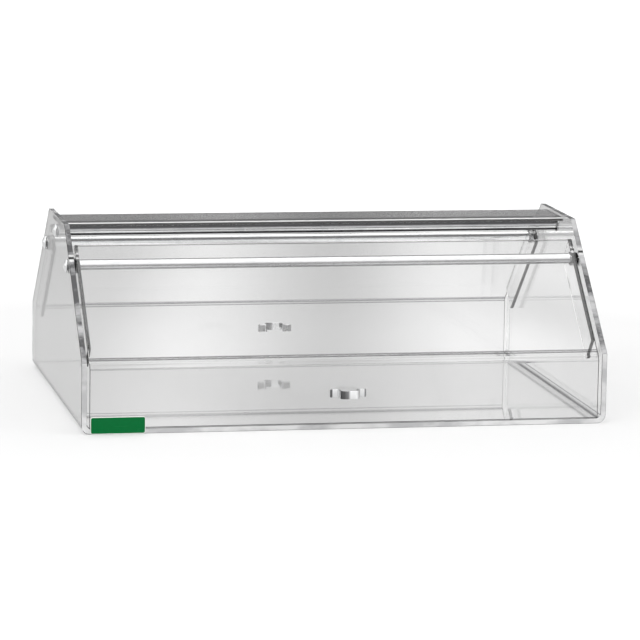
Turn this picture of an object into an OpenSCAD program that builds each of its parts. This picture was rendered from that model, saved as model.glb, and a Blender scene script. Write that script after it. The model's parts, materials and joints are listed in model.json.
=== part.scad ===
// Countertop bread display bin: a clear acrylic case with a front and a rear flap door.
// The origin is on the counter, under the middle of the case. The front faces -Y.

/* [Case] */
// Width over the two side walls
case_w = 600; // [460:5:800]
// Depth of the floor, front edge to rear edge
case_d = 438; // [380:2:560]
// Height of the side walls at their flat top
case_h = 214; // [195:1:270]
// Height of the upright lower edge of each side wall
upright_h = 80; // [66:1:100]
// Length of the flat top of each side wall, front to rear
crown_d = 136; // [110:1:170]
// Thickness of the bent case sheet
case_t = 6; // [4:0.5:8]
// Inside radius of the bends between the floor and the side walls
case_bend_r = 4; // [2:0.5:8]

/* [Top panel] */
// Depth of the fixed top panel, front to rear
top_panel_d = 74; // [50:1:100]
// Thickness of the top panel
top_panel_t = 4; // [3:0.5:6]
// Distance from the top of the walls down to the panel's upper face
top_panel_drop = 3; // [1:0.5:6]

/* [Rods] */
// Diameter of the three rods
rod_d = 12; // [8:0.5:14]
// Bevel at both ends of a rod
rod_bevel = 0.8; // [0.4:0.1:1.5]
// Height of the top rod's axis below the top of the walls
top_rod_drop = 16.5; // [15:0.5:24]
// Height of the two door rods' axes below the top of the walls
door_rod_drop = 44; // [38:0.5:60]
// Distance of a door rod's axis behind the walls' sloped edge, square to it
door_rod_inset = 15.5; // [15:0.1:20]

/* [Rod screws] */
// Diameter of the screw shank
screw_d = 6; // [4:0.5:6]
// Length of thread inside the rod
screw_bite = 16; // [10:1:25]
// Depth of the tapped hole past the screw's tip
tap_spare = 6; // [2:1:10]
// Diameter of the domed head
head_d = 15.5; // [13:0.5:18]
// Height of the domed head
head_h = 4.6; // [3.5:0.1:6]
// Height of the head's straight rim
head_rim = 1.2; // [0.6:0.1:2]
// Width across the flats of the hexagon socket
socket_w = 4; // [3:0.5:4]
// Depth of the hexagon socket
socket_depth = 2.4; // [1.5:0.1:2.6]

/* [Doors] */
// Thickness of the door sheet
door_t = 4; // [3:0.5:5]
// Gap between a door's side edge and the side wall
door_side_gap = 3.3; // [2:0.1:6]
// Gap between a closed door's lower edge and the floor
door_floor_gap = 0.5; // [0.3:0.1:2]
// How far the door's upright part stands out past the floor's edge
door_proud = 0.3; // [0.3:0.1:1]
// Depth of the door's outer face behind the walls' sloped edge, square to it
door_inset = 3; // [1:0.1:3.5]
// Outside radius of the bend between the upright and the sloped part
door_bend_r = 10; // [8:0.5:16]
// Length of the sloped part above the rod's axis
door_above_rod = 20.5; // [15:0.5:30]

/* [Door cheeks] */
// Thickness of the cheeks that hang a door on its rod
cheek_t = 4; // [3:0.5:6]
// Depth of a cheek behind the door sheet
cheek_depth = 32; // [28:1:45]
// Length of a cheek below the rod's axis
cheek_below_rod = 129; // [60:1:130]
// Radius of a cheek's free corners
cheek_corner_r = 4; // [2:0.5:8]

/* [Hinge bushes] */
// Wall of the bush inside the cheek
bush_wall = 1.1; // [0.8:0.1:1.2]
// Diameter of the bush's flange
bush_flange_d = 17; // [16:0.5:20]
// Running clearance between the bush and the rod, on the radius
bush_clear = 0.05; // [0.02:0.01:0.1]
// Clearance between the bush and the cheek's hole, on the radius
bush_seat = 0.02; // [0.01:0.01:0.05]
// Side play between the bush's flange and the wall
bush_end_play = 0.4; // [0.3:0.1:0.8]

/* [Handles] */
// Width of the handle over its two tabs
handle_w = 41; // [36:0.5:60]
// Height of the handle's strip
handle_h = 9; // [8:0.2:14]
// Thickness of the handle's strip
handle_t = 2; // [1.5:0.1:3]
// Width over the handle's bow
bow_w = 23; // [18:0.5:28]
// Reach of the bow, from the back of the tabs
bow_reach = 15; // [10:0.5:22]
// Outside radius of the bow's two corners
bow_corner_r = 6; // [4:0.5:8]
// Radius of the outside corners of the tabs
tab_corner_r = 1; // [0.5:0.1:2]
// Thickness of the bonding pad behind each tab
pad_t = 0.8; // [0.5:0.1:1.2]
// Margin between a bonding pad's edge and the tab's edge
pad_margin = 0.6; // [0.3:0.1:1]

/* [Label plate] */
// Width of the plate
plate_w = 61.5; // [40:0.5:80]
// Height of the plate
plate_h = 19; // [14:0.5:26]
// Thickness of the plate
plate_t = 1; // [0.5:0.1:2]
// Corner radius of the plate
plate_corner_r = 2.5; // [1:0.5:4]
// Gap between the plate and the door's left edge
plate_side_gap = 0.7; // [0.5:0.1:5]
// Height of the plate's lower edge above the counter
plate_z = 0.4; // [0.3:0.1:4]

/* [Hidden] */
$fn = 96;
// Overshoot of a cutting tool past the face that it cuts
cut = 1;
// Clearance of a screw shank in the wall and in the rod, on the radius
screw_clear = 0.05;
// How far a door bend's arcs stand outside the flats, so that the faces cross instead of just touching
bend_ease = 0.01;

inner_w = case_w - 2 * case_t;
run = (case_d - crown_d) / 2;
slope = atan2(case_h - upright_h, run);
slope_dir = [cos(slope), sin(slope)];
slope_out = [-sin(slope), cos(slope)];

top_rod_z = case_h - top_rod_drop;
door_rod_z = case_h - door_rod_drop;
door_rod_y = case_d / 2 - (door_rod_z - upright_h) / tan(slope) - door_rod_inset / sin(slope);

// The door's section lies in a plane of [distance behind the front edge, height].
door_w = inner_w - 2 * door_side_gap;
door_foot_z = case_t + door_floor_gap;
door_knee_z = upright_h - door_proud * tan(slope) - door_inset / cos(slope);
bend_run = door_bend_r * tan((90 - slope) / 2);
bend_at = [door_bend_r - door_proud, door_knee_z - bend_run];
door_bend_in = door_bend_r - door_t;
rod_at = [case_d / 2 - door_rod_y, door_rod_z];
// The rod's axis from the bend's centre: along the sloped part, and square to it
rod_along = (rod_at - bend_at) * slope_dir;
rod_out = (rod_at - bend_at) * slope_out;
sloped_len = rod_along + door_above_rod;

bush_bore_r = rod_d / 2 + bush_clear;
bush_r = bush_bore_r + bush_wall;
bush_flange_t = door_side_gap - bush_end_play;

handle_z = (door_foot_z + door_knee_z) / 2;
tab_w = (handle_w - bow_w) / 2;

clear_tint = [0.86, 0.90, 0.92, 0.4];
chrome_tint = [0.80, 0.81, 0.83];

// A channel section, open at the top, with round lower corners
module channel(w, h, r) {
    translate([-w / 2, r]) square([w, h - r]);
    translate([-w / 2 + r, 0]) square([w - 2 * r, h]);
    for (side = [-1, 1]) translate([side * (w / 2 - r), r]) circle(r);
}

// A rectangle with round corners, centred
module round_rect(w, h, r) {
    square([w - 2 * r, h], center = true);
    square([w, h - 2 * r], center = true);
    for (x = [-1, 1], y = [-1, 1]) translate([x * (w / 2 - r), y * (h / 2 - r)]) circle(r);
}

// Sweeps a section drawn in [Y, Z] along X, centred on the case
module along_x(length) {
    rotate([90, 0, 90]) linear_extrude(length, center = true) children();
}

// Turns a front piece into its rear twin
module to_rear() {
    mirror([0, 1, 0]) children();
}

module wall_outline() {
    half_d = case_d / 2;
    polygon([
        [-half_d, 0], [half_d, 0],
        [half_d, upright_h], [crown_d / 2, case_h],
        [-crown_d / 2, case_h], [-half_d, upright_h]
    ]);
}

module case_section() {
    outer_r = case_bend_r + case_t;
    difference() {
        channel(case_w, case_h + cut, outer_r);
        translate([0, case_t]) channel(inner_w, case_h + 2 * cut, case_bend_r);
    }
}

// Calls its children at the axis of each rod
module at_rods() {
    translate([0, 0, top_rod_z]) children();
    for (side = [-1, 1]) translate([0, side * door_rod_y, door_rod_z]) children();
}

module case_shell() {
    color(clear_tint) difference() {
        intersection() {
            rotate([90, 0, 0]) linear_extrude(case_d, center = true) case_section();
            along_x(case_w) wall_outline();
        }
        at_rods() along_x(case_w + 2 * cut) circle(screw_d / 2 + screw_clear);
    }
}

module top_panel() {
    panel_z = case_h - top_panel_drop - top_panel_t;
    color(clear_tint) translate([-inner_w / 2, -top_panel_d / 2, panel_z])
        cube([inner_w, top_panel_d, top_panel_t]);
}

// One rod with a tapped hole in each end
module rod() {
    half = inner_w / 2;
    hole_depth = screw_bite + tap_spare;
    color(chrome_tint) rotate([0, 90, 0]) difference() {
        union() {
            cylinder(h = inner_w - 2 * rod_bevel, d = rod_d, center = true);
            for (end = [0, 180]) rotate([end, 0, 0]) translate([0, 0, half - rod_bevel])
                cylinder(h = rod_bevel, d1 = rod_d, d2 = rod_d - 2 * rod_bevel);
        }
        for (end = [0, 180]) rotate([end, 0, 0]) translate([0, 0, half - hole_depth])
            cylinder(h = hole_depth + cut, d = screw_d + 2 * screw_clear);
    }
}

module top_rod() {
    translate([0, 0, top_rod_z]) rod();
}

module front_rod() {
    translate([0, -door_rod_y, door_rod_z]) rod();
}

module rear_rod() {
    to_rear() front_rod();
}

// One screw along +Z: the shank below z = 0, the domed head above
module rod_screw() {
    dome_rise = head_h - head_rim;
    dome_r = (pow(head_d / 2, 2) + pow(dome_rise, 2)) / (2 * dome_rise);
    difference() {
        union() {
            translate([0, 0, -case_t - screw_bite]) cylinder(h = case_t + screw_bite, d = screw_d);
            intersection() {
                cylinder(h = head_h, d = head_d);
                translate([0, 0, head_h - dome_r]) sphere(dome_r);
            }
        }
        translate([0, 0, head_h - socket_depth])
            cylinder(h = socket_depth + cut, d = socket_w / cos(30), $fn = 6);
    }
}

module rod_screws() {
    color(chrome_tint) at_rods() for (side = [-1, 1])
        rotate([0, side * 90, 0]) translate([0, 0, case_w / 2]) rod_screw();
}

// Places a section drawn along the sloped part into the door's own plane
module on_slope() {
    translate(bend_at) rotate(slope) children();
}

module door_section() {
    upright_len = bend_at[1] - door_foot_z;
    // Long enough to take everything behind the sheet away
    reach = 2 * door_bend_r;
    difference() {
        union() {
            translate([-door_proud, door_foot_z]) square([door_bend_r, upright_len]);
            on_slope() square([sloped_len, door_bend_r]);
            translate(bend_at) circle(door_bend_r + bend_ease);
        }
        translate([door_t - door_proud, door_foot_z - cut]) square([reach, upright_len + cut]);
        on_slope() translate([0, door_bend_in - reach]) square([sloped_len + cut, reach]);
        translate(bend_at) circle(door_bend_in + bend_ease);
    }
}

// Sweeps a door section along X, at the front of the case
module at_front(length) {
    translate([0, -case_d / 2, 0]) along_x(length) children();
}

module front_door() {
    color(clear_tint) at_front(door_w) door_section();
}

// A cheek's section: bonded to the sheet along its straight edge, round at its free corners
module cheek_section() {
    length = cheek_below_rod + door_above_rod;
    mid_along = rod_along + (door_above_rod - cheek_below_rod) / 2;
    difference() {
        translate([mid_along, door_bend_in - cheek_depth / 2]) union() {
            round_rect(length, cheek_depth, cheek_corner_r);
            translate([-length / 2, 0]) square([length, cheek_depth / 2]);
        }
        translate([rod_along, rod_out]) circle(bush_r + bush_seat);
    }
}

module front_cheek(side) {
    cheek_x = door_w / 2 - cheek_t / 2;
    color(clear_tint) translate([side * cheek_x, 0, 0]) at_front(cheek_t) on_slope() cheek_section();
}

module front_left_cheek() {
    front_cheek(-1);
}

module front_right_cheek() {
    front_cheek(1);
}

// One flanged bush: its sleeve in the cheek, its flange between the cheek and the wall
module front_bush(side) {
    color([0.08, 0.08, 0.09]) translate([side * door_w / 2, -door_rod_y, door_rod_z])
        rotate([0, side * 90, 0]) difference() {
            union() {
                translate([0, 0, -cheek_t]) cylinder(h = cheek_t, r = bush_r);
                cylinder(h = bush_flange_t, d = bush_flange_d);
            }
            translate([0, 0, -cheek_t - cut])
                cylinder(h = cheek_t + bush_flange_t + 2 * cut, r = bush_bore_r);
        }
}

module front_left_bush() {
    front_bush(-1);
}

module front_right_bush() {
    front_bush(1);
}

// The handle's strip seen from above: two flat tabs joined by a bow that reaches to -Y
module handle_section() {
    difference() {
        union() {
            translate([-handle_w / 2, -handle_t]) square([handle_w, handle_t]);
            translate([0, -bow_reach]) channel(bow_w, bow_reach, bow_corner_r);
        }
        translate([0, handle_t - bow_reach])
            channel(bow_w - 2 * handle_t, bow_reach, bow_corner_r - handle_t);
    }
}

// Places a piece on the door's upright outer face, at the handle's height
module at_handle() {
    translate([0, -case_d / 2 - door_proud, handle_z]) children();
}

module front_handle() {
    color(chrome_tint) at_handle() translate([0, -pad_t, 0]) intersection() {
        linear_extrude(handle_h, center = true) handle_section();
        rotate([90, 0, 0]) linear_extrude(bow_reach + cut) round_rect(handle_w, handle_h, tab_corner_r);
    }
}

module front_handle_pads() {
    pad_w = tab_w - 2 * pad_margin;
    pad_h = handle_h - 2 * pad_margin;
    pad_x = handle_w / 2 - tab_w / 2;
    color([0.92, 0.92, 0.92]) at_handle() for (side = [-1, 1])
        translate([side * pad_x - pad_w / 2, -pad_t, -pad_h / 2]) cube([pad_w, pad_t, pad_h]);
}

module label_plate() {
    plate_x = plate_w / 2 + plate_side_gap - door_w / 2;
    color([0.02, 0.45, 0.22]) translate([plate_x, -case_d / 2 - door_proud, plate_z + plate_h / 2])
        rotate([90, 0, 0]) linear_extrude(plate_t) round_rect(plate_w, plate_h, plate_corner_r);
}

module rear_door() {
    to_rear() front_door();
}

module rear_left_cheek() {
    to_rear() front_left_cheek();
}

module rear_right_cheek() {
    to_rear() front_right_cheek();
}

module rear_left_bush() {
    to_rear() front_left_bush();
}

module rear_right_bush() {
    to_rear() front_right_bush();
}

module rear_handle() {
    to_rear() front_handle();
}

module rear_handle_pads() {
    to_rear() front_handle_pads();
}

case_shell();
top_panel();
top_rod();
front_rod();
rear_rod();
rod_screws();
front_door();
front_left_cheek();
front_right_cheek();
front_left_bush();
front_right_bush();
front_handle();
front_handle_pads();
label_plate();
rear_door();
rear_left_cheek();
rear_right_cheek();
rear_left_bush();
rear_right_bush();
rear_handle();
rear_handle_pads();
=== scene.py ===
import json
import math

import bmesh
import bpy
from mathutils import Matrix, Vector

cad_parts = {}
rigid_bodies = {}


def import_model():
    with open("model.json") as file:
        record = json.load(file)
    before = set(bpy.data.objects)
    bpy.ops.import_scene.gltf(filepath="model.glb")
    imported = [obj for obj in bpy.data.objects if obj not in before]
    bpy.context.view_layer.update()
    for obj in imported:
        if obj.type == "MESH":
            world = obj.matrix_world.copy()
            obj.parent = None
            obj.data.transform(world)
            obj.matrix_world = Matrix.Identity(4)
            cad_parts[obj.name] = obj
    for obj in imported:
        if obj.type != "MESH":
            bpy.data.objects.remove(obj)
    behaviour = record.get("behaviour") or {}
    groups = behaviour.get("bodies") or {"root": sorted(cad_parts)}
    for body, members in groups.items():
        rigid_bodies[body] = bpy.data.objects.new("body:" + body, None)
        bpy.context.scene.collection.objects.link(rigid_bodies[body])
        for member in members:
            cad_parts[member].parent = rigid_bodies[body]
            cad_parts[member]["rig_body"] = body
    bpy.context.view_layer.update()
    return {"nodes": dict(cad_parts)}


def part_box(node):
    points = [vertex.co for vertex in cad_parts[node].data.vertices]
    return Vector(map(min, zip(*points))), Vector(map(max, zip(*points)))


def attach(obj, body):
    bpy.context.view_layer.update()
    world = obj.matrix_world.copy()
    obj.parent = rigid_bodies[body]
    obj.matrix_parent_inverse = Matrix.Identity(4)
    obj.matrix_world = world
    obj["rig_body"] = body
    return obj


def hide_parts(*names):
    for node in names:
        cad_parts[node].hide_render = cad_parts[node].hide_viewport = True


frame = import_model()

bpy.context.scene.view_settings.view_transform = "Standard"
nodes = frame["nodes"]
print("frame loaded:", len(nodes), "nodes")


cameraSet = {
    "place": (-0.8578, -4.2404, 0.7930),
    "azimuth": 11.591,      # turned to the right of straight ahead
    "downTilt": 9.254,
    "roll": 0.946,
    "lens": 210.14,
    "sensor": 36.0,
    "farthest": 60.0,       # nothing past this is drawn
}


def makeCamera(s):
    turn, tilt, roll = (math.radians(s[key]) for key in ("azimuth", "downTilt", "roll"))
    ahead = Vector((math.sin(turn) * math.cos(tilt), math.cos(turn) * math.cos(tilt), -math.sin(tilt)))
    right = Vector((math.cos(turn), -math.sin(turn), 0))
    up = right.cross(ahead)
    rolledRight = right * math.cos(roll) + up * math.sin(roll)
    rolledUp = up * math.cos(roll) - right * math.sin(roll)
    data = bpy.data.cameras.new("photoCamera")
    data.lens = s["lens"]
    data.sensor_width = s["sensor"]
    data.clip_end = s["farthest"]
    camera = bpy.data.objects.new("photoCamera", data)
    turnMatrix = Matrix((rolledRight, rolledUp, -ahead)).transposed().to_4x4()
    camera.matrix_world = Matrix.Translation(Vector(s["place"])) @ turnMatrix
    bpy.context.scene.collection.objects.link(camera)
    bpy.context.scene.camera = camera


makeCamera(cameraSet)
print("camera placed")


def newMaterial(name):
    material = bpy.data.materials.new(name)
    material.use_nodes = True
    tree = material.node_tree
    tree.nodes.clear()
    return material, tree, tree.nodes.new("ShaderNodeOutputMaterial")


# A new node: its settings by keyword, and its sockets by name or number, each of them linked or set
def addNode(tree, kind, sockets=None, **settings):
    node = tree.nodes.new(kind)
    for key, value in settings.items():
        setattr(node, key, value)
    for key, value in (sockets or {}).items():
        if isinstance(value, bpy.types.NodeSocket):
            tree.links.new(value, node.inputs[key])
        else:
            node.inputs[key].default_value = value
    return node


def addMath(tree, operation, *values, clamp=False):
    sockets = dict(enumerate(values))
    return addNode(tree, "ShaderNodeMath", sockets, operation=operation, use_clamp=clamp).outputs[0]


def addRange(tree, value, fromLow, fromHigh, toLow=0.0, toHigh=1.0):
    sockets = {"Value": value, "From Min": fromLow, "From Max": fromHigh, "To Min": toLow, "To Max": toHigh}
    return addNode(tree, "ShaderNodeMapRange", sockets).outputs["Result"]


# The second tone over the first, by the factor: a colour Mix has its tones at inputs 6 and 7 and output 2
def addMix(tree, factor, first, second):
    sockets = {"Factor": factor, 6: first, 7: second}
    return addNode(tree, "ShaderNodeMix", sockets, data_type="RGBA").outputs[2]


# A grey ramp, from pairs of place and tone
def addRamp(tree, value, stops, interpolation="LINEAR"):
    node = addNode(tree, "ShaderNodeValToRGB", {"Fac": value})
    ramp = node.color_ramp
    ramp.interpolation = interpolation
    while len(ramp.elements) < len(stops):
        ramp.elements.new(0.5)
    for element, (at, tone) in zip(ramp.elements, stops):
        element.position = at
        element.color = (tone, tone, tone, 1)
    return node.outputs["Color"]


def addMapping(tree, vector, **sockets):
    return addNode(tree, "ShaderNodeMapping", {"Vector": vector, **sockets}).outputs["Vector"]


def addNoise(tree, vector, **sockets):
    return addNode(tree, "ShaderNodeTexNoise", {"Vector": vector, **sockets}).outputs["Fac"]


def addBump(tree, height, s):
    sockets = {"Height": height, "Strength": s["bumpStrength"], "Distance": s["bumpHeight"]}
    return addNode(tree, "ShaderNodeBump", sockets).outputs["Normal"]


def mixShaders(tree, factor, first, second):
    sockets = {"Fac": factor, 1: first.outputs[0], 2: second.outputs[0]}
    return addNode(tree, "ShaderNodeMixShader", sockets)


def splitAxes(tree, vector):
    return addNode(tree, "ShaderNodeSeparateXYZ", {"Vector": vector}).outputs


def placeOf(tree):
    return tree.nodes.new("ShaderNodeTexCoord").outputs["Object"]


marksSet = {
    "smudgeSpan": (0.5, 0.75),      # noise at which a smudge begins, and at which it is full
    "hairSpan": (0.70, 0.78),
    "hairTurn": (0.3, 0.2, 0.5),
    "hairStretch": (14, 420, 420),
}


# Smudges and hairline scratches of a handled surface: a rougher skin, a height for bump and where they lie
def makeHandlingMarks(s):
    group = bpy.data.node_groups.new("handlingMarks", "ShaderNodeTree")
    for label, value in (("Scale", 8.0), ("Smooth", 0.02), ("Worn", 0.1)):
        group.interface.new_socket(label, in_out="INPUT", socket_type="NodeSocketFloat").default_value = value
    for label in ("Roughness", "Height", "Mask"):
        group.interface.new_socket(label, in_out="OUTPUT", socket_type="NodeSocketFloat")
    ins = group.nodes.new("NodeGroupInput").outputs
    place = placeOf(group)
    smudge = addNoise(group, place, Scale=ins["Scale"], Detail=4.0, Roughness=0.55)
    smudges = addRange(group, smudge, *s["smudgeSpan"])
    # hairlines: a noise stretched along one way, kept only at its peaks
    stretched = addMapping(group, place, Rotation=s["hairTurn"], Scale=s["hairStretch"])
    hairs = addRange(group, addNoise(group, stretched, Scale=1.0, Detail=2.0), *s["hairSpan"])
    marks = addMath(group, "MAXIMUM", smudges, hairs, clamp=True)
    roughness = addMath(group, "MULTIPLY_ADD", marks, ins["Worn"], ins["Smooth"])
    addNode(group, "NodeGroupOutput", {"Roughness": roughness, "Height": hairs, "Mask": marks})
    return group


handlingMarks = makeHandlingMarks(marksSet)


def addMarks(tree, s):
    sockets = {"Scale": s["marksScale"], "Smooth": s["smooth"], "Worn": s["worn"]}
    return addNode(tree, "ShaderNodeGroup", sockets, node_tree=handlingMarks).outputs


def addSurface(tree, output, shader):
    tree.links.new(shader.outputs[0], output.inputs["Surface"])


acrylicSet = {
    "tint": (0.975, 0.975, 0.975, 1),
    "panelTint": (0.86, 0.86, 0.865, 1),    # the top panel is tinted greyer than the other sheets
    "smudgeShare": 0.98,    # how much of the tint is left under a smudge
    "ior": 1.491,
    "marksScale": 9.0,
    "smooth": 0.0,
    "worn": 0.006,
    "waveScale": 5.0,
    "bumpHeight": 0.00005,  # how far the sheet's face swells and sinks, in metres
    "bumpStrength": 1.0,
    "scratchShare": 0.02,   # how deep a scratch is beside that
    "lampShare": 0.92,      # share of a lamp's light that a sheet lets through
    # painted shade: dark lines round a bend, in place of the bend's own reflections, from one flat to the
    # other
    "paintedLineTint": (0.14, 0.14, 0.15, 1),
    "doorPaintedLines": ((0, 0), (0.12, 1), (0.26, 0.1), (0.52, 0), (0.64, 0.9), (0.90, 1), (1, 0)),
    "frontPaintedLines": ((0, 0), (0.12, 0.35), (0.30, 0), (1, 0)),
    "casePaintedLines": ((0, 0), (0.10, 1), (0.24, 0.1), (0.46, 0.35), (0.66, 0.6), (0.74, 1), (0.97, 1), (1, 0)),
    # a painted dark band on the flat beside a bend, standing in for a reflection: along which axis it lies,
    # from where to where, and how dark it is
    "paintedBandTint": (0.16, 0.16, 0.165, 1),
    "casePaintedBand": (
        "X",
        (0.270, 0.292),
        ((0, 0), (0.30, 0), (0.38, 0.70), (0.50, 0.70), (0.58, 0.24), (0.88, 0.24), (0.95, 0), (1, 0)),
    ),
    "frontPaintedBand": ("Z", (0.0807, 0.0824), ((0, 0), (0.2, 1), (0.8, 1), (1, 0))),
    "noPaintedBand": ("Z", (0.0, 1.0), ((0, 0), (1, 0))),
}


# Lamps shine through the clear sheet, so that the floor below it is lit
def passLamps(tree, output, shader, share, tint):
    path = tree.nodes.new("ShaderNodeLightPath")
    factor = addMath(tree, "MULTIPLY", path.outputs["Is Shadow Ray"], share)
    clear = addNode(tree, "ShaderNodeBsdfTransparent", {"Color": tint})
    addSurface(tree, output, mixShaders(tree, factor, shader, clear))


def makeAcrylic(name, s, tint, paintedLinesKey, paintedBandKey):
    material, tree, output = newMaterial(name)
    place = placeOf(tree)
    marks = addMarks(tree, s)
    smudged = [tone * s["smudgeShare"] for tone in s[tint][:3]] + [1]
    clear = addMix(tree, marks["Mask"], s[tint], smudged)
    # the attribute says how far round the bend a point is
    across = addNode(tree, "ShaderNodeAttribute", attribute_name="across").outputs["Fac"]
    # painted shade: dark lines along the bend
    paintedLined = addMix(tree, addRamp(tree, across, s[paintedLinesKey]), clear, s["paintedLineTint"])
    # painted reflection: a dark band on the flat beside the bend
    axis, reach, tones = s[paintedBandKey]
    beside = addRange(tree, splitAxes(tree, place)[axis], *reach)
    paintedBanded = addMix(tree, addRamp(tree, beside, tones), paintedLined, s["paintedBandTint"])
    wave = addNoise(tree, place, Scale=s["waveScale"], Detail=1.0)
    height = addMath(tree, "MULTIPLY_ADD", marks["Height"], s["scratchShare"], wave)
    shader = addNode(tree, "ShaderNodeBsdfPrincipled", {
        "Base Color": paintedBanded,
        "Roughness": marks["Roughness"],
        "Normal": addBump(tree, height, s),
        "IOR": s["ior"],
        "Transmission Weight": 1.0,
    })
    passLamps(tree, output, shader, s["lampShare"], s["tint"])
    return material


edgeSet = {
    # painted tones by where an edge faces, pale towards the room and near black in the case: tint, tint of
    # the dark patches, and share of the light that goes into the edge
    "sloped": ((0.80, 0.80, 0.81, 1), (0.10, 0.10, 0.105, 1), 0.55),
    "upright": ((0.96, 0.96, 0.96, 1), (0.62, 0.62, 0.63, 1), 0.35),    # these face the room, and are painted pale
    "inner": ((0.03, 0.03, 0.03, 1), (0.01, 0.01, 0.01, 1), 0.80),      # a door's and a cheek's, in the case, painted near black as shade
    "patchScale": 55.0,     # painted reflections: light and dark patches, as the sheet's inside would show in its edge
    "patchSpan": (0.40, 0.58),
    # saw and polishing lines across the cut edge
    "polishScale": 900.0,
    "polishStretch": (0.25, 0.6, 0.6),
    "bumpHeight": 0.00003,
    "bumpStrength": 0.6,
    "marksScale": 60.0,
    "smooth": 0.06,
    "worn": 0.12,
    "lampShare": 0.35,      # the cut edges leave a thin shadow on the floor
    # a screw's shank painted in an edge as it would show through it, between these heights: dark between two
    # painted light marks
    "shankHeights": (0.1765, 0.1845),
    "shank": {
        "shows": ((0, 0), (0.14, 1), (0.86, 1), (1, 0)),
        "tones": ((0, 1), (0.34, 1), (0.40, 0), (0.62, 0), (0.68, 1), (1, 1)),
    },
    # the top panel's edge is painted dark as shade, under a painted light line as a highlight
    "panel": {
        "shows": ((0, 1), (1, 1)),
        "tones": ((0, 0.06), (0.70, 0.06), (0.80, 1), (1, 1)),
    },
}


def makeEdge(name, s, kind, mark, heights):
    tint, paintedPatchTint, clear = s[kind]
    material, tree, output = newMaterial(name)
    place = placeOf(tree)
    marks = addMarks(tree, s)
    stretched = addMapping(tree, place, Scale=s["polishStretch"])
    # painted reflections: light and dark patches in the edge
    patches = addNoise(tree, stretched, Scale=s["patchScale"], Detail=5.0, Roughness=0.6)
    patched = addMix(tree, addRange(tree, patches, *s["patchSpan"]), tint, paintedPatchTint)
    # painted marks by height: a screw's shank, or the top panel's dark edge under its light line
    height = addRange(tree, splitAxes(tree, place)["Z"], *heights)
    shows, tones = (addRamp(tree, height, s[mark][key]) for key in ("shows", "tones"))
    marked = addMix(tree, shows, patched, tones)
    polish = addNoise(tree, stretched, Scale=s["polishScale"], Detail=3.0, Roughness=0.7)
    shader = addNode(tree, "ShaderNodeBsdfPrincipled", {
        "Base Color": marked,
        "Roughness": marks["Roughness"],
        "Normal": addBump(tree, polish, s),
        "IOR": acrylicSet["ior"],
        "Transmission Weight": clear,
    })
    passLamps(tree, output, shader, s["lampShare"], tint)
    return material


chromeSet = {
    "bright": (0.95, 0.955, 0.96, 1),
    "dull": (0.82, 0.83, 0.84, 1),
    # painted reflections: dark bands, as the studio would show in metal, along a bow and up a rod
    "paintedBandTint": (0.012, 0.012, 0.014, 1),
    "bow": (
        (0, 0.85), (0.05, 0.85), (0.07, 0.1), (0.22, 0.1), (0.25, 1), (0.28, 0.9), (0.44, 0.75), (0.50, 0.05),
        (0.68, 0.05), (0.74, 0.5), (0.80, 0.7), (0.84, 0.2), (0.94, 0.2), (0.97, 0.75), (1, 0.75),
    ),
    "top_rod": (
        (0, 0.5), (0.06, 1), (0.20, 1), (0.27, 0.7), (0.34, 0), (0.39, 0), (0.46, 0.6), (0.55, 0.3),
        (0.65, 0.6), (0.73, 0.93), (1, 0.93),
    ),
    "front_rod": (
        (0, 0.75), (0.08, 0.75), (0.19, 0.8), (0.30, 0.35), (0.41, 0.72), (0.51, 0.55), (0.60, 0.08),
        (0.70, 0), (0.90, 0), (0.95, 0.5), (1, 0.95),
    ),
    "rear_rod": (
        (0, 0.3), (0.08, 0.15), (0.2, 0), (0.58, 0), (0.65, 0.5), (0.74, 0.9), (0.84, 0.75), (0.93, 0.2),
        (1, 0),
    ),
    "plain": ((0, 0), (1, 0)),
    # painted shade on a screw head's rim: how dark, and where that fades towards the head's end and its top
    "screwRimPaintedShade": 0.9,
    "endSpan": (0.35, 0.55),
    "topSpan": (0.30, 0.45),
    "marksScale": 45.0,
    "smooth": 0.015,
    "worn": 0.02,
    # faint lines left along a rod under the chrome
    "drawnScale": 700.0,
    "drawnStretch": (0.04, 1, 1),
    "bumpHeight": 0.0000002,
    "bumpStrength": 0.5,
}


def makeChrome(name, s, bands, axis, reach, rimShadeShare=0.0):
    material, tree, output = newMaterial(name)
    coordinates = tree.nodes.new("ShaderNodeTexCoord").outputs
    place = coordinates["Object"]
    marks = addMarks(tree, s)
    metal = addMix(tree, marks["Mask"], s["bright"], s["dull"])
    # painted reflections: dark bands along the given axis
    paintedBanded = addRamp(tree, addRange(tree, splitAxes(tree, place)[axis], *reach), s[bands])
    # painted shade on a screw head's rim, by which way its faces look
    facing = splitAxes(tree, coordinates["Normal"])
    rim = addRange(tree, addMath(tree, "ABSOLUTE", facing["X"]), *s["endSpan"], rimShadeShare, 0.0)
    underTop = addRange(tree, facing["Z"], *s["topSpan"], 1.0, 0.0)
    paintedDark = addMath(tree, "MULTIPLY_ADD", rim, underTop, paintedBanded, clamp=True)
    stretched = addMapping(tree, place, Scale=s["drawnStretch"])
    drawn = addNoise(tree, stretched, Scale=s["drawnScale"], Detail=3.0)
    shader = addNode(tree, "ShaderNodeBsdfPrincipled", {
        "Base Color": addMix(tree, paintedDark, metal, s["paintedBandTint"]),
        "Roughness": marks["Roughness"],
        "Normal": addBump(tree, drawn, s),
        "Metallic": 1.0,
    })
    addSurface(tree, output, shader)
    return material


nylonSet = {
    "tone": (0.004, 0.004, 0.004, 1),
    "grainTone": (0.012, 0.012, 0.013, 1),
    "grainScale": 900.0,
    "bumpHeight": 0.00005,
    "bumpStrength": 0.4,
    "specular": 0.2,
    "marksScale": 120.0,
    "smooth": 0.38,
    "worn": 0.18,
}

padSet = {
    **nylonSet,
    "tone": (0.82, 0.82, 0.82, 1),
    "grainTone": (0.92, 0.92, 0.92, 1),
    "grainScale": 1400.0,
    "smooth": 0.6,
}


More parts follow.
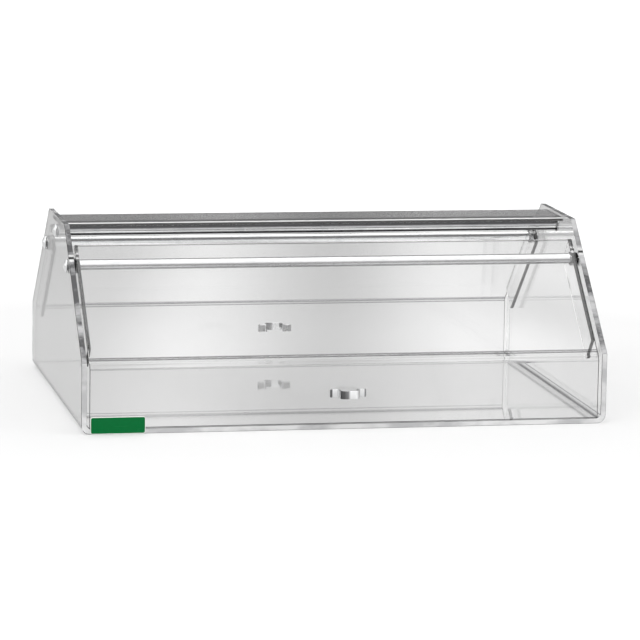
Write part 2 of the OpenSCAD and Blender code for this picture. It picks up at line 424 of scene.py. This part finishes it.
def makeMoulded(name, s):
    material, tree, output = newMaterial(name)
    marks = addMarks(tree, s)
    grain = addNoise(tree, placeOf(tree), Scale=s["grainScale"], Detail=4.0)
    shader = addNode(tree, "ShaderNodeBsdfPrincipled", {
        "Base Color": addMix(tree, grain, s["tone"], s["grainTone"]),
        "Roughness": marks["Roughness"],
        "Normal": addBump(tree, grain, s),
        "Specular IOR Level": s["specular"],
    })
    addSurface(tree, output, shader)
    return material


plateSet = {
    "green": (0.0, 0.125, 0.030, 1),
    "deepGreen": (0.0, 0.105, 0.024, 1),
    "grainScale": 260.0,
    "rim": (0.80, 0.84, 0.80, 1),
    "rimWidth": 0.0005,
    "bumpHeight": 0.00003,  # how far the rim stands out
    "bumpStrength": 0.5,
    "corner": 0.0025,
    "specular": 0.1,
    "marksScale": 70.0,
    "smooth": 0.22,
    "worn": 0.15,
}


# Green face with a thin pale rim, from the distance to the plate's outline
def makePlate(s):
    low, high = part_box("label_plate")
    middle, half = (low + high) / 2, (high - low) / 2
    material, tree, output = newMaterial("greenPlate")
    place = placeOf(tree)
    centred = splitAxes(tree, addMapping(tree, place, Location=tuple(-middle)))
    squares = []
    for axis, reach in (("X", half.x), ("Z", half.z)):
        past = addMath(tree, "SUBTRACT", addMath(tree, "ABSOLUTE", centred[axis]), reach - s["corner"])
        squares.append(addMath(tree, "POWER", addMath(tree, "MAXIMUM", past, 0.0), 2.0))
    fromCorner = addMath(tree, "SQRT", addMath(tree, "ADD", *squares))
    # away from the rim the distance stops at the corner radius, which is deeper than the rim
    inside = addMath(tree, "SUBTRACT", s["corner"], fromCorner)
    onRim = addMath(tree, "COMPARE", inside, s["rimWidth"] / 2, s["rimWidth"] / 2)
    grain = addNoise(tree, place, Scale=s["grainScale"], Detail=3.0)
    green = addMix(tree, grain, s["green"], s["deepGreen"])
    marks = addMarks(tree, s)
    shader = addNode(tree, "ShaderNodeBsdfPrincipled", {
        "Base Color": addMix(tree, onRim, green, s["rim"]),
        "Roughness": marks["Roughness"],
        "Normal": addBump(tree, onRim, s),
        "Specular IOR Level": s["specular"],
    })
    addSurface(tree, output, shader)
    return material


sheetFaces = {
    "case_shell": makeAcrylic("caseAcrylic", acrylicSet, "tint", "casePaintedLines", "casePaintedBand"),
    "top_panel": makeAcrylic("panelAcrylic", acrylicSet, "panelTint", "doorPaintedLines", "noPaintedBand"),
    "front_door": makeAcrylic("frontDoorAcrylic", acrylicSet, "tint", "frontPaintedLines", "frontPaintedBand"),
    "other": makeAcrylic("clearAcrylic", acrylicSet, "tint", "doorPaintedLines", "noPaintedBand"),
}

shankHeights = edgeSet["shankHeights"]
panelHeights = [corner.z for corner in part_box("top_panel")]
slopedEdge = makeEdge("clearAcrylicEdge", edgeSet, "sloped", "shank", shankHeights)
innerEdge = makeEdge("innerAcrylicEdgePaintedShade", edgeSet, "inner", "shank", shankHeights)
uprightEdge = makeEdge("uprightAcrylicEdge", edgeSet, "upright", "shank", shankHeights)
panelEdge = makeEdge("panelEdge", edgeSet, "upright", "panel", panelHeights)

# edges of each sheet: the sloped and flat ones, then those that stand upright where they differ
sheetEdges = {
    "case_shell": (slopedEdge, uprightEdge),
    "top_panel": (slopedEdge, panelEdge),
    "other": (innerEdge,),
}

screwChrome = makeChrome("chromedSteel", chromeSet, "plain", "Z", (0.0, 1.0), chromeSet["screwRimPaintedShade"])
bowReach = [corner.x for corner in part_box("front_handle")]
bowChrome = makeChrome("polishedStripPaintedBands", chromeSet, "bow", "X", bowReach)
nylon = makeMoulded("blackNylon", nylonSet)
pad = makeMoulded("bondingPad", padSet)
plate = makePlate(plateSet)
print("materials made")


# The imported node's loose triangles, merged into one closed mesh
def cadCopy(node):
    bm = bmesh.new()
    bm.from_mesh(nodes[node].data)
    bmesh.ops.remove_doubles(bm, verts=bm.verts, dist=1e-6)
    bm.normal_update()
    return bm


easeSet = {
    "leastAngle": 30.0,     # corners duller than this stay as they are
    "sheet": 0.0004,
    "handle": 0.0005,
    "pad": 0.0001,
    "plate": 0.00015,
}


def easeCorners(bm, width, segments, keep=lambda edge: True):
    least = math.radians(easeSet["leastAngle"])
    edges = [edge for edge in bm.edges if edge.is_manifold and edge.calc_face_angle(0) > least and keep(edge)]
    bmesh.ops.bevel(bm, geom=edges, offset=width, offset_type="OFFSET", affect="EDGES",
                    segments=segments, profile=0.5, material=-1, clamp_overlap=False)


def finishPiece(bm, name, node, materials, sharpAngle):
    bm.normal_update()
    mesh = bpy.data.meshes.new(name)
    bm.to_mesh(mesh)
    bm.free()
    for material in materials:
        mesh.materials.append(material)
    mesh.shade_smooth()
    mesh.set_sharp_from_angle(angle=math.radians(sharpAngle))
    piece = bpy.data.objects.new(name, mesh)
    bpy.context.scene.collection.objects.link(piece)
    # normals weighted by area, so that long flats and rods shade as flat and straight right up to their ends
    even = piece.modifiers.new("evenNormals", "WEIGHTED_NORMAL")
    even.weight = 100
    even.keep_sharp = True
    made = piece.evaluated_get(bpy.context.evaluated_depsgraph_get())
    piece.data = bpy.data.meshes.new_from_object(made)
    piece.modifiers.clear()
    bpy.data.meshes.remove(mesh)
    piece.data.name = name
    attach(piece, nodes[node]["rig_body"])
    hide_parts(node)


sheetSet = {
    "bendRadius": 0.010,    # outside, of the case and the doors alike
    "doorBendHeight": 0.0708,       # of the bend's centre
    "doorTurn": 48.4,
    "caseTurn": 90.0,
    "holeReach": 0.005,     # round the rods' axes the case's corners stay sharp
    "sharpAngle": 20.0,
    # how much of a face's normal lies along an axis, to lean that way, to look that way or to be square to it
    "leans": 0.1,
    "looks": 0.5,
    "square": 0.9,
    # how near to the top a top edge's faces have their middles
    "wallTopReach": 0.001,
    "doorTopReach": 0.004,
}

rodAxes = []
for node in ("top_rod", "front_rod", "rear_rod"):
    low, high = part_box(node)
    rodAxes.append(((low + high) / 2).yz)
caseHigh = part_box("case_shell")[1]
doorLow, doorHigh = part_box("front_door")


# Which faces of each sheet are its cut edges, by their normal and middle
def isCaseEdge(normal, middle):
    isWallTop = normal.z > sheetSet["square"] and middle.z > caseHigh.z - sheetSet["wallTopReach"]
    return abs(normal.y) > sheetSet["leans"] or isWallTop


def isPanelEdge(normal, middle):
    return abs(normal.z) < sheetSet["looks"]


def isDoorEdge(normal, middle):
    isSloped = abs(normal.y * normal.z) > sheetSet["leans"]
    isDoorTop = isSloped and abs(middle.z - doorHigh.z) < sheetSet["doorTopReach"]
    return abs(normal.x) > sheetSet["looks"] or normal.z < -sheetSet["square"] or isDoorTop


def isCheekEdge(normal, middle):
    return abs(normal.x) < sheetSet["looks"]


# How far round the sheet's bend each corner lies, from 0 on one flat to 1 on the other
def markBend(bm, node):
    layer = bm.verts.layers.float.new("across")
    radius = sheetSet["bendRadius"]
    if node == "case_shell":
        out = caseHigh.x - radius
        turn = sheetSet["caseTurn"]
        spots = [(vert, abs(vert.co.x) - out, radius - vert.co.z) for vert in bm.verts]
    elif node.endswith("door"):
        out = abs(doorLow.y) - radius
        turn = sheetSet["doorTurn"]
        spots = [(vert, abs(vert.co.y) - out, vert.co.z - sheetSet["doorBendHeight"]) for vert in bm.verts]
    else:
        return
    # the angle at the bend's centre, from where the upright flat ends
    for vert, outward, onward in spots:
        vert[layer] = min(max(math.degrees(math.atan2(onward, outward)) / turn, 0.0), 1.0)


# A cut sheet: clear faces, and cut edges with their own finish
def dressSheet(node, name, isCut):
    bm = cadCopy(node)
    edges = sheetEdges.get(node, sheetEdges["other"])
    for face in bm.faces:
        isEdge = isCut(face.normal, face.calc_center_median())
        isUpright = isEdge and len(edges) > 1 and abs(face.normal.y) > sheetSet["square"]
        # 0 is the clear face, 1 and 2 are the edges in their order
        face.material_index = isEdge + isUpright
    holes = rodAxes if node == "case_shell" else []

    def isClearOfHoles(edge):
        middle = (edge.verts[0].co + edge.verts[1].co) / 2
        return all((middle.yz - hole).length > sheetSet["holeReach"] for hole in holes)

    easeCorners(bm, easeSet["sheet"], 1, isClearOfHoles)
    markBend(bm, node)
    clearFace = sheetFaces.get(node, sheetFaces["other"])
    finishPiece(bm, name, node, [clearFace, *edges], sheetSet["sharpAngle"])


dressSheet("case_shell", "caseShell", isCaseEdge)
dressSheet("top_panel", "topPanel", isPanelEdge)
for side in ("front", "rear"):
    dressSheet(side + "_door", side + "DoorSheet", isDoorEdge)
    for hand in ("left", "right"):
        dressSheet(f"{side}_{hand}_cheek", f"{side}{hand.capitalize()}Cheek", isCheekEdge)
print("sheets dressed")


solidSet = {
    "bevelSegments": 2,
    "sharpAngle": 40.0,
}


# A plain turned or moulded piece, with eased edges where a width is given
def dressSolid(node, name, material, width=0.0):
    bm = cadCopy(node)
    if width:
        easeCorners(bm, width, solidSet["bevelSegments"])
    finishPiece(bm, name, node, [material], solidSet["sharpAngle"])


# each rod's chrome carries its own painted reflection bands up its height
for node, name in (("top_rod", "topRod"), ("front_rod", "frontRod"), ("rear_rod", "rearRod")):
    heights = [corner.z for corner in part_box(node)]
    dressSolid(node, name, makeChrome(name + "Chrome", chromeSet, node, "Z", heights))
dressSolid("rod_screws", "rodScrews", screwChrome)
for side in ("front", "rear"):
    for hand in ("left", "right"):
        dressSolid(f"{side}_{hand}_bush", f"{side}{hand.capitalize()}Bush", nylon)
    dressSolid(side + "_handle", side + "Handle", bowChrome, easeSet["handle"])
    dressSolid(side + "_handle_pads", side + "HandlePads", pad, easeSet["pad"])
dressSolid("label_plate", "labelPlate", plate, easeSet["plate"])
print("solids dressed")


stageSet = {
    "floorHalf": 12.0,
    "floorDrop": 0.0001,    # keeps the floor clear of the case's underside
    # the paper as the camera sees it: its colour, and its own light near the case and far from it
    "seenPaper": (0.5, 0.5, 0.5, 1),
    "seenSpan": (0.7, 2.2),
    "seenNear": 0.16,
    "seenFar": 0.68,
    # the paper as sheets and metal show it: soft bands, which run slightly across the case
    "dimPaper": (0.08, 0.08, 0.08, 1),
    "dimGlow": 0.78,
    "mirrorGlow": 0.10,     # added in metal, which shows it whiter than the sheets do
    "bandTurn": 12.0,
    "bandSpan": (-0.5, 0.5),
    "bands": ((0, 0.64), (0.20, 0.62), (0.34, 0.96), (0.52, 0.55), (0.70, 0.98), (0.86, 0.86), (1, 0.70)),
    "behindSpan": (0.45, 1.1),      # behind the case it falls off a little
    "behindShare": 0.85,
}


# Paper with some light of its own
def addPaper(tree, colour, glow):
    paper = addNode(tree, "ShaderNodeBsdfDiffuse", {"Color": colour})
    light = addNode(tree, "ShaderNodeEmission", glow)
    return addNode(tree, "ShaderNodeAddShader", {0: paper.outputs[0], 1: light.outputs[0]})


def makePaper(s):
    material, tree, output = newMaterial("studioFloor")
    place = placeOf(tree)
    path = tree.nodes.new("ShaderNodeLightPath").outputs
    # the lamps' light falls off, so the paper that the camera sees is made whiter with distance
    distance = addNode(tree, "ShaderNodeVectorMath", {0: place}, operation="LENGTH").outputs["Value"]
    seen = addPaper(tree, s["seenPaper"], {
        "Strength": addRange(tree, distance, *s["seenSpan"], s["seenNear"], s["seenFar"]),
    })
    turned = splitAxes(tree, addMapping(tree, place, Rotation=(0, 0, math.radians(s["bandTurn"]))))
    bands = addRamp(tree, addRange(tree, turned["X"], *s["bandSpan"]), s["bands"], "EASE")
    behind = addRange(tree, turned["Y"], *s["behindSpan"], 1.0, s["behindShare"])
    mirrored = addMath(tree, "GREATER_THAN", path["Glossy Depth"], 0.5)
    dim = addPaper(tree, s["dimPaper"], {
        "Color": addMath(tree, "MULTIPLY", bands, behind),
        "Strength": addMath(tree, "MULTIPLY_ADD", mirrored, s["mirrorGlow"], s["dimGlow"]),
    })
    addSurface(tree, output, mixShaders(tree, path["Is Camera Ray"], dim, seen))
    return material


def makeFloor(s):
    bm = bmesh.new()
    bmesh.ops.create_grid(bm, x_segments=1, y_segments=1, size=s["floorHalf"])
    mesh = bpy.data.meshes.new("studioFloor")
    bm.to_mesh(mesh)
    bm.free()
    floor = bpy.data.objects.new("studioFloor", mesh)
    floor.location.z = -s["floorDrop"]
    bpy.context.scene.collection.objects.link(floor)
    mesh.materials.append(makePaper(s))


worldSet = {
    # tone against height, from the horizon up: on the side behind the case, and on the camera's side
    "behind": (
        (0, 0.90), (0.07, 0.85), (0.10, 0.16), (0.15, 0.16), (0.172, 0.70), (0.21, 0.70), (0.27, 0.20),
        (0.42, 0.90), (0.85, 0.95), (0.95, 1.6), (1, 1.6),
    ),
    "before": ((0, 0.95), (0.10, 0.80), (0.20, 1.1), (0.85, 1.1), (0.95, 1.6), (1, 1.6)),
    "sideSpan": (-0.15, 0.25),      # where one side passes into the other
    "leftEnd": (1.0, 1.0, 1.0, 1),  # the studio's left end, and where it begins
    "leftSpan": (-0.60, -0.85),
    "seen": (1, 1, 1, 1),           # what the camera sees
}


def makeWorld(s):
    world = bpy.data.worlds.new("studio")
    bpy.context.scene.world = world
    world.use_nodes = True
    tree = world.node_tree
    tree.nodes.clear()
    way = splitAxes(tree, tree.nodes.new("ShaderNodeTexCoord").outputs["Generated"])
    before, behind = (addRamp(tree, way["Z"], s[key]) for key in ("before", "behind"))
    sides = addMix(tree, addRange(tree, way["Y"], *s["sideSpan"]), before, behind)
    around = addNode(tree, "ShaderNodeBackground", {
        "Color": addMix(tree, addRange(tree, way["X"], *s["leftSpan"]), sides, s["leftEnd"]),
    })
    seen = addNode(tree, "ShaderNodeBackground", {"Color": s["seen"]})
    path = tree.nodes.new("ShaderNodeLightPath").outputs
    output = tree.nodes.new("ShaderNodeOutputWorld")
    addSurface(tree, output, mixShaders(tree, path["Is Camera Ray"], around, seen))


lampSet = {
    "aim": (0, 0, 0.1),
    # name, place, size and power of each lamp
    "lamps": (
        ("keySoftbox", (-1.4, -1.8, 2.2), (1.6, 1.2), 42),
        ("fillSoftbox", (1.8, -1.2, 1.6), (1.2, 1.2), 16),
        ("backSoftbox", (0.2, 2.0, 1.8), (2.0, 1.0), 20),
    ),
}


def makeLamp(name, place, size, power, aim):
    data = bpy.data.lights.new(name, "AREA")
    data.shape = "RECTANGLE"
    data.size, data.size_y = size
    data.energy = power
    lamp = bpy.data.objects.new(name, data)
    lamp.visible_glossy = False     # no lamp shows in metal or sheet
    aimed = (Vector(aim) - Vector(place)).to_track_quat("-Z", "Y").to_matrix().to_4x4()
    lamp.matrix_world = Matrix.Translation(Vector(place)) @ aimed
    bpy.context.scene.collection.objects.link(lamp)


makeFloor(stageSet)
makeWorld(worldSet)
for lamp in lampSet["lamps"]:
    makeLamp(*lamp, lampSet["aim"])
print("stage lit")
